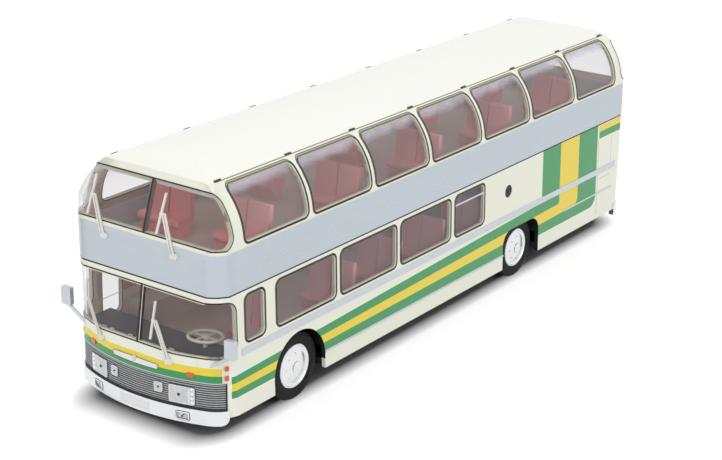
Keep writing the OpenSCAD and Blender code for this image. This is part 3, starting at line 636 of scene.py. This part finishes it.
finishes = dict(
    cream_paint=creamPaint(), roof_paint=roofPaint(), band_paint=bandPaint(), clear_glazing=glazing(),
    seat_plastic=plastic("seatPlastic", linear(240, 164, 158), linear(226, 146, 140), 0.5, 0.8, 0.03),
    deck_plastic=deckPlastic(),
    dash_plastic=plastic("dashPlastic", linear(62, 60, 64), linear(84, 82, 84), 0.55, 0.7, 0.03),
    ivory_plastic=plastic("ivoryPlastic", linear(238, 234, 214), linear(222, 216, 194), 0.38),
    black_plastic=grillePlastic(),
    chassis_plastic=plastic("chassisPlastic", linear(34, 33, 35), linear(52, 51, 52), 0.55, 0.9, 0.03),
    bright_plate=brightMetal("brightPlate", (0.82, 0.83, 0.85), (0.75, 0.76, 0.78), 0.24, 7),
    silver_trim=brightMetal("silverTrim", linear(210, 216, 222), linear(197, 204, 211), 0.34, 6, 0.3),
    lamp_lens=lampLens(), lens_plastic=lensPlastic(), tyre=tyreRubber(),
    axle_steel=brightMetal("axleSteel", (0.42, 0.42, 0.44), (0.3, 0.3, 0.31), 0.28, 1.2))
lineBlack = plastic("lineBlack", sealLook["black"], sealLook["worn"], 0.5, 0.8, 0.02)
sealRubber = sealPlastic()
wiperPaint = plastic("wiperPaint", linear(236, 235, 228), linear(214, 213, 208), 0.34)
plateWhite = plastic("plateWhite", linear(240, 240, 238), linear(226, 226, 224), 0.4)
mirrorGlass = brightMetal("mirrorGlass", (0.9, 0.92, 0.95), (0.86, 0.88, 0.92), 0.04, 6)
ownFinish = dict(seals=sealRubber, plates=plateWhite, wipers=wiperPaint)

slotOf = {p["node"]: p["material_slot"] for p in frame["record"]["subparts"]}
for name, node in nodes.items():
    node.data.materials.clear()
    node.data.materials.append(ownFinish.get(name, finishes[slotOf[name]]).material)
print("finishes on", len(nodes), "solids")

# windows: the places the panels are cut
windowLook = dict(sill=31.5, doorDrop=9.0, lowTop=48.2, upFoot=65.3, upTop=83.8, round=2.4,
                  lowShares=[(0.951, 0.992), (0.799, 0.929), (0.656, 0.79), (0.516, 0.647), (0.422, 0.506)],
                  upCount=7, upEdge=3.0, upGap=2.3)
upStart = coach["seamRear"] + windowLook["upEdge"]
upPitch = (flankL - 2 * windowLook["upEdge"] + windowLook["upGap"]) / windowLook["upCount"]


def sideWindows(side):
    found = []
    for i, (a, b) in enumerate(windowLook["lowShares"]):
        foot = windowLook["sill"] - (windowLook["doorDrop"] if side < 0 and i == 0 else 0)
        x0, x1 = coach["seamRear"] + flankL * a, coach["seamRear"] + flankL * b
        found.append((x0, foot, x1, windowLook["lowTop"]))
    for i in range(windowLook["upCount"]):
        x = upStart + i * upPitch
        found.append((x, windowLook["upFoot"], x + upPitch - windowLook["upGap"], windowLook["upTop"]))
    return found


frameLook = dict(wide=0.26, foot=-0.27, head=-0.08, inset=0.57, line=0.42, lineHigh=0.05, lineGrow=0.19)


def windowFrames():
    look = frameLook
    bright, dark = Shape(), Shape()
    bead = halfRound(look["wide"] / 2, look["head"] - look["foot"], look["foot"])
    half, high = look["line"] / 2, look["lineHigh"]
    strip = [(-half, 0.0), (-half, high), (half, high), (half, 0.0)]
    for side in (-1, 1):
        for box in sideWindows(side):
            for shape, grow, section in ((bright, -look["inset"], bead), (dark, look["lineGrow"], strip)):
                path = roundPath(box, windowLook["round"], grow)
                shape.sweep([(onSide(x, z, side), sideNormal(z, side)) for x, z in path], section)
    bright.piece("windowFrames", "ivory_plastic")
    dark.piece("windowLines", "black_plastic", sealRubber)


ventRail = dict(foot=43.95, head=44.6, rear=-23.3, front=-3.1, sunk=-0.3, out=0.04)


def slidingVent():  # top-slider rail in the last lower window
    rail = Shape()
    rear, front, foot, head = (ventRail[key] for key in ("rear", "front", "foot", "head"))
    outline = [(rear, foot), (front, foot), (front, head), (rear, head)]
    for side in (-1, 1):
        rail.loft([[onSide(x, z, side, ventRail[depth]) for x, z in outline] for depth in ("sunk", "out")])
        rail.lid(len(rail.points) - len(outline), len(outline))
    rail.piece("ventRails", "silver_trim", smooth=False)


windowFrames()
slidingVent()
print("window frames done")

tuck = -0.05  # edges sunk into the panels
# strips along the band: foot, head and stand-out
bandLook = dict(ribs=14, ribSteps=4, depth=0.1, base=0.07, margin=0.35, head=64.2,
                seam=(49.75, 50.2, 0.1), bead=(64.15, 64.5, 0.17))


def ribbedBand():
    low, high = coach["bandZ"] + bandLook["margin"], bandLook["head"]
    steps = bandLook["ribs"] * bandLook["ribSteps"]
    rings = [ring(low, tuck)]
    for i in range(steps + 1):
        swell = 0.5 - 0.5 * math.cos(2 * math.pi * i / bandLook["ribSteps"])
        rings.append(ring(low + (high - low) * i / steps, bandLook["base"] + bandLook["depth"] * swell))
    ribs = Shape()
    ribs.loft(rings + [ring(high, tuck)])
    ribs.piece("bandRibs", "band_paint")


def roundStrip(name, run, slot, finish=None):  # a strip carried right round the body
    foot, head, out = run
    edge = out * 0.6
    strip = Shape()
    lifts = [(foot, tuck), (foot, edge), ((foot + head) / 2, out), (head, edge), (head, tuck)]
    strip.loft([ring(z, lift) for z, lift in lifts])
    strip.piece(name, slot, finish)


ribbedBand()
roundStrip("bandSeamLow", bandLook["seam"], "black_plastic", lineBlack)
roundStrip("bandBead", bandLook["bead"], "ivory_plastic")

trimLook = dict(front=dict(left=122.1, right=108.2), foot=27.7, high=2.5, out=0.33, sunk=-0.03,
                thin=[(-127.9, -86.2, 18.8, 0.7), (-38.2, 78.2, 13.3, 0.7)])
gutterLook = dict(rear=-131.5, front=121.5, foot=84.5, high=0.2, out=0.06)


def sideStrip(shape, side, x0, x1, foot, high, out, gap=5.0):  # a round-faced strip lying on one side
    count = max(2, int((x1 - x0) / gap))
    sunk, edge = trimLook["sunk"], out * 0.7
    section = [(0, sunk), (0, edge), (0.12, out), (0.5, out * 1.05), (0.88, out), (1, edge), (1, sunk)]
    rows = []
    for i in range(count + 1):
        x = x0 + (x1 - x0) * i / count
        rows.append([onSide(x, foot + high * share, side, lift) for share, lift in section])
    start, wide = len(shape.points), len(section)
    shape.loft(rows, closed=False)
    shape.lid(start, wide)
    shape.lid(start + count * wide, wide)


def trimStrips():
    look = trimLook
    for side, hand in ((1, "left"), (-1, "right")):
        strip = Shape()
        wide = (coach["seamRear"], look["front"][hand], look["foot"], look["high"])
        for run in [wide] + look["thin"]:
            sideStrip(strip, side, *run, look["out"])
        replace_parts(strip.piece("trimStrip" + hand.title(), "silver_trim"), "trim_" + hand)


def gutters():
    # a line along the roof seam; the seal finish gives it the olive-grey painted shade of the shadow line
    # under the roof edge
    line = Shape()
    for side in (1, -1):
        sideStrip(line, side, *(gutterLook[key] for key in ("rear", "front", "foot", "high", "out")))
    line.piece("gutterLine", "black_plastic", sealRubber)


pillarLook = dict(half=1.6, thick=0.3, inset=0.1, foot=84.4, head=85.25, edge=0.15)


def pillarShadowBlocks():  # dark blocks where the pillars meet the roof: painted shadow of the gaps there
    look = pillarLook
    caps = Shape()
    for side in (-1, 1):
        y = side * (gutterY - look["inset"])
        for i in range(windowLook["upCount"] + 1):
            x = upStart + i * upPitch - windowLook["upGap"] / 2
            caps.block((x - look["half"], y - look["thick"], look["foot"]),
                       (x + look["half"], y + look["thick"], look["head"]), look["edge"])
    caps.piece("pillarShadowBlocks", "dash_plastic")


trimStrips()
gutters()
pillarShadowBlocks()
print("band and gutter done")

# seat and shoulder: how far out from the rim or in from the tread, and in from the side wall
tyreLook = dict(rim=8.0, radius=12.4, frontW=7.2, twinW=5.2, twinGap=0.8, face=31.3,
                seat=[(0.0, 0.5), (1.2, 0.0)], shoulder=[(1.6, 0.0), (0.35, 0.45), (0.0, 1.1)],
                grooves=2, deep=0.35, mouth=0.3, floor=0.12, frontSteps=34, rearSteps=28)


def tyreProfile(width):
    look = tyreLook
    r = look["radius"]
    wall = [(look["rim"] + rise, reach) for rise, reach in look["seat"]]
    wall += [(r - drop, reach) for drop, reach in look["shoulder"]]
    edge = wall[-1][1]
    tread = []
    for i in range(look["grooves"]):
        mid = edge + (width - 2 * edge) * (i + 1) / (look["grooves"] + 1)
        tread += [(r, mid - look["mouth"]), (r - look["deep"], mid - look["floor"]),
                  (r - look["deep"], mid + look["floor"]), (r, mid + look["mouth"])]
    return wall + tread + [(radius, width - reach) for radius, reach in wall[::-1]]


def makeTyres(name, x, rows, width, steps, body, node):
    tyres = Shape()
    for y, side in rows:
        tyres.turn(tyreProfile(width), (x, y, coach["hubZ"]), steps, side)
    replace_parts(tyres.piece(name, "tyre", body=body), node)


capLook = dict(face=30.4, rim=[(7.7, 0.45), (7.75, 0.75), (7.45, 0.85), (7.1, 0.5)], rimSteps=40,
               boss=[(2.2, 1.5), (2.1, 1.85), (1.5, 2.0), (0.9, 2.05), (0.05, 2.06)], bossSteps=24)


def capTrims(name, x, body):  # raised rings on the hub caps, as radius and reach
    trims = Shape()
    for side in (-1, 1):
        centre = (x, side * capLook["face"], coach["hubZ"])
        trims.turn(capLook["rim"], centre, capLook["rimSteps"], side)
        trims.turn(capLook["boss"], centre, capLook["bossSteps"], side)
    trims.piece(name, "bright_plate", body=body)


def wheels():
    look = tyreLook
    face, twin = look["face"], look["twinW"]
    inner = face - 2 * twin - look["twinGap"]
    pair = [(face, -1), (-face, 1)]
    twins = [(face, -1), (inner, 1), (-face, 1), (-inner, -1)]
    frontX, rearX = coach["frontWheelX"], coach["rearWheelX"]
    makeTyres("frontTyreSet", frontX, pair, look["frontW"], look["frontSteps"], "front_wheels", "front_tyres")
    makeTyres("rearTyreSet", rearX, twins, twin, look["rearSteps"], "rear_wheels", "rear_tyres")
    capTrims("frontCapTrims", frontX, "front_wheels")
    capTrims("rearCapTrims", rearX, "rear_wheels")


wheels()
print("wheels done")

lampLook = dict(round=0.7, gap=0.8, bead=(0.2, 0.26, 0.12), inset=-0.15, line=(0.12, 0.08, 0.02),
                lineGrow=0.12, bulbOut=0.33, bulbHigh=0.25,
                stack=4, stackR=0.62, stackOut=0.2, stackHigh=0.5)
lampSet = [dict(y=17.53, z=14.565, wide=7.17, tall=6.29, bulb=0.62, lift=0.0),
           dict(y=22.08, z=14.565, wide=1.93, tall=6.29, bulb=0, lift=0.0),  # stacked small lenses
           dict(y=9.86, z=15.632, wide=3.256, tall=3.552, bulb=0.4, lift=0.0),
           dict(y=18.904, z=7.29, wide=4.81, tall=2.96, bulb=0.4, lift=0.6)]  # in the bumper


def lampTrims():  # bezels, bulbs, and black lines round the lamps: painted shadow in the gaps
    look = lampLook
    rims, bulbs, gapShadows = Shape(), Shape(), Shape()
    bead, line = halfRound(*look["bead"]), halfRound(*look["line"], 60)
    for lamp in lampSet:
        for side in (-1, 1):
            mid, z, wide, tall = side * lamp["y"], lamp["z"], lamp["wide"], lamp["tall"]
            box = (mid - wide / 2, z - tall / 2, mid + wide / 2, z + tall / 2)
            for shape, section, grow in ((rims, bead, look["inset"]), (gapShadows, line, look["lineGrow"])):
                path = roundPath(box, look["round"], grow, look["gap"])
                shape.sweep([onNose(*spot, lamp["lift"]) for spot in path], section)
            if lamp["bulb"]:
                bulbs.dome(*onNose(mid, z, look["bulbOut"] + lamp["lift"]), lamp["bulb"], look["bulbHigh"])
            else:
                for i in range(look["stack"]):
                    spot = onNose(mid, box[1] + tall * (i + 0.5) / look["stack"], look["stackOut"])
                    rims.dome(*spot, look["stackR"], look["stackHigh"])
    rims.piece("lampRims", "bright_plate")
    bulbs.piece("lampBulbs", "dash_plastic")
    # the black lines round the lamps are painted shadow
    gapShadows.piece("lampGapShadows", "black_plastic", lineBlack)


# strips across the nose: foot, head, stand-out and reach to each side
noseRuns = dict(grilleTop=(19.85, 20.15, 0.18, 32.15), grilleFoot=(10.2, 10.5, 0.2, 32.15),
                grilleSill=(10.85, 11.1, 0.16, 32.15), screenSill=(28.95, 29.2, 0.02, 27.5),
                screenHead=(47.4, 47.65, 0.02, 27.0))


def noseStrip(name, slot, finish=None, steps=48):
    foot, head, out, reach = noseRuns[name]
    across = [reach * (2 * i / steps - 1) for i in range(steps + 1)]
    strip = Shape()
    strip.loft([[onNose(y, z, lift)[0] for y in across]
                for z, lift in ((foot, tuck), (foot, out), (head, out), (head, tuck))], closed=False)
    strip.piece(name, slot, finish)


endLook = dict(y=32.0, half=0.22, sunk=-0.4, out=0.15, steps=8)


def grilleEnds():
    look = endLook
    half, sunk, out = look["half"], look["sunk"], look["out"]
    ends = Shape()
    for side in (-1, 1):
        rise = [grilleLook["foot"] + grilleLook["high"] * i / look["steps"] for i in range(look["steps"] + 1)]
        ends.sweep([onNose(side * look["y"], z) for z in rise],
                   [(-half, sunk), (-half, out), (half, out), (half, sunk)], closed=False)
    ends.piece("grilleEnds", "black_plastic", lineBlack)


plaqueLook = dict(half=10, foot=21.7, head=23.7, round=0.7, inset=-0.05, gap=0.8, out=0.28, wire=0.1,
                  bossHalf=0.8, bossZ=22.8, bossFoot=21.5, bossHead=24.2, bossOut=0.2,
                  back=0.3, face=0.35, edge=0.3)


def plaqueEdge():
    look = plaqueLook
    box = (-look["half"], look["foot"], look["half"], look["head"])
    path = roundPath(box, look["round"], look["inset"], look["gap"])
    turns = [math.radians(a) for a in range(0, 360, 60)]
    edge = Shape()
    edge.sweep([onNose(*spot, look["out"]) for spot in path],
               [(look["wire"] * math.cos(a), look["wire"] * math.sin(a)) for a in turns])
    edge.piece("plaqueEdge", "black_plastic", lineBlack)
    boss = Shape()
    x = onNose(0, look["bossZ"], look["bossOut"])[0].x
    boss.block((x - look["back"], -look["bossHalf"], look["bossFoot"]),
               (x + look["face"], look["bossHalf"], look["bossHead"]), look["edge"])
    boss.piece("plaqueBoss", "silver_trim")


barLook = dict(edges=(0.55, 0.85), foot=29.0, high=18.8, out=0.12, steps=12)


def screenStrip():  # pale strip beside the lower screen's bar
    look = barLook
    rise = [look["foot"] + look["high"] * i / look["steps"] for i in range(look["steps"] + 1)]
    strip = Shape()
    strip.loft([[onNose(y, z, look["out"])[0] for z in rise] for y in look["edges"]], closed=False)
    strip.piece("screenStrip", "ivory_plastic")


dashLook = dict(across=(-22, -18.5, -10, -6.5, 5, 8.5), half=0.9, rear=128.2, front=129.4,
                foot=25.4, head=25.9, edge=0.2)


def dashVents():
    look = dashLook
    vents = Shape()
    for y in look["across"]:
        vents.block((look["rear"], y - look["half"], look["foot"]),
                    (look["front"], y + look["half"], look["head"]), look["edge"])
    vents.piece("dashVents", "ivory_plastic")


mirrorLook = dict(y=36.65, half=2.0, foot=31.0, head=37.2, round=0.6, inset=-0.1, gap=1.0,
                  ahead=8.4, sunk=0.1, out=0.12)


def mirrorPanes():  # silvered panes set on the backs of the mirror heads
    look = mirrorLook
    panes = Shape()
    x = seamX + look["ahead"]
    for side in (-1, 1):
        mid = side * look["y"]
        box = (mid - look["half"], look["foot"], mid + look["half"], look["head"])
        outline = roundPath(box, look["round"], look["inset"], look["gap"])
        panes.loft([[Vector((at, y, z)) for y, z in outline] for at in (x + look["sunk"], x - look["out"])])
        panes.lid(len(panes.points) - len(outline), len(outline))
    panes.piece("mirrorPanes", "silver_trim", mirrorGlass)


lampTrims()
noseStrip("grilleTop", "silver_trim")
noseStrip("grilleFoot", "black_plastic", lineBlack)
noseStrip("grilleSill", "black_plastic", lineBlack)
grilleEnds()
noseStrip("screenSill", "ivory_plastic")
noseStrip("screenHead", "ivory_plastic")
plaqueEdge()
screenStrip()
dashVents()
mirrorPanes()
print("nose fittings done")

baseLook = dict(top=8.2, half=1.2, edge=0.25, railY=9.5, railX=(-122, 118), railFoot=7.2,
                crossX=(-112, -90, -34, -8, 20, 48, 72, 112), crossY=22, crossFoot=7.4,
                engine=((-118, -7.4, 6.8), (-84, 7.4), 0.8), tank=((24, 12.4, 6.9), (44, 24), 0.7))


def baseRelief():  # moulded frame members under the base
    look = baseLook
    half, top, edge = look["half"], look["top"], look["edge"]
    rear, front = look["railX"]
    relief = Shape()
    for y in (-look["railY"], look["railY"]):
        relief.block((rear, y - half, look["railFoot"]), (front, y + half, top), edge)
    for x in look["crossX"]:
        relief.block((x - half, -look["crossY"], look["crossFoot"]), (x + half, look["crossY"], top), edge)
    for low, high, bevel in (look["engine"], look["tank"]):
        relief.block(low, (*high, top), bevel)
    relief.piece("baseRelief", "chassis_plastic")


baseRelief()
print("base done")

# the floor shows its real shading only inside a round-cornered patch under the coach; outside it, emission
# seen by the eye and in reflections paints the floor white over any shadow, and the dark base seen by the eye
# deepens the shadow inside: painted shadow
floorLook = dict(reach=6.0, paper=(0.93, 0.93, 0.935), bright=(0.95, 0.95, 0.955), patch=260,
                 under=(0.25, 0.25, 0.252), halfL=122, halfW=21, along=0.45, across=0.7,
                 fadeFrom=4.3, fadeTo=9.8, glow=0.8)
backLook = dict(colour=(1, 1, 1), light=0.67, shown=1.0)


def studio():
    look = floorLook
    f = Finish("floorPaper", {"Roughness": 0.9, "Specular IOR Level": 0.1, "Emission Strength": look["glow"]})
    shown = f.shown()
    x, y = f.axes()[:2]
    along = ((abs(x) - look["halfL"]) | 0) * look["along"]
    across = ((abs(y) - look["halfW"]) | 0) * look["across"]
    # the patch's soft edge, not the lamps, sets where the shadow ends: painted shadow
    clear = f.ramp((along * along + across * across) ** 0.5, look["fadeFrom"], look["fadeTo"], 1.0)
    paper = f.mix(f.cloud(look["patch"], 2), look["paper"], look["bright"])
    f.give({"Base Color": f.mix(shown, paper, look["under"]),
            "Emission Color": f.mix(shown & clear, (0, 0, 0), (1, 1, 1))})
    mesh = bpy.data.meshes.new("floor")
    reach = look["reach"]
    mesh.from_pydata([(-reach, -reach, 0), (reach, -reach, 0), (reach, reach, 0), (-reach, reach, 0)], [],
                     [(0, 1, 2, 3)])
    mesh.materials.append(f.material)
    ground = bpy.data.objects.new("floor", mesh)
    scene.collection.objects.link(ground)

    scene.world = bpy.data.worlds.new("studio")
    scene.world.use_nodes = True
    back = Nodes(scene.world.node_tree, "Background")
    back.give({"Color": backLook["colour"],
               "Strength": back.spread(back.shown(), backLook["light"], backLook["shown"])})


# soft boxes: place in metres, size and power
lampBoxes = dict(keyBox=((0.8, 0.15, 0.7), 0.7, 1.7), sideBox=((0.15, 0.95, 0.6), 0.8, 1.7),
                 topBox=((-0.15, -0.05, 1.1), 0.8, 2.3))
lampAim = (0, 0, 0.04)


def softBoxes():
    for name, (at, size, power) in lampBoxes.items():
        light = bpy.data.lights.new(name, "AREA")
        light.shape, light.size, light.energy = "SQUARE", size, power
        box = bpy.data.objects.new(name, light)
        box.location = at
        box.rotation_euler = (Vector(lampAim) - Vector(at)).to_track_quat("-Z", "Y").to_euler()
        scene.collection.objects.link(box)


view = dict(eye=(490.8, 349.24, 252.2), ahead=(-0.75703, -0.55231, -0.34909),
            up=(-0.27357, -0.21727, 0.93699), lens=82.013, sensor=36.0, near=0.01)


def placeCamera():
    data = bpy.data.cameras.new("camera")
    data.sensor_width, data.lens, data.clip_start = view["sensor"], view["lens"], view["near"]
    camera = bpy.data.objects.new("camera", data)
    back = -Vector(view["ahead"]).normalized()
    right = Vector(view["up"]).cross(back).normalized()
    up = back.cross(right)
    turned = Matrix((right, up, back)).transposed().to_4x4()
    camera.matrix_world = Matrix.Translation(Vector(view["eye"]) * mm) @ turned
    scene.collection.objects.link(camera)
    scene.camera = camera


studio()
softBoxes()
placeCamera()
print("studio done")
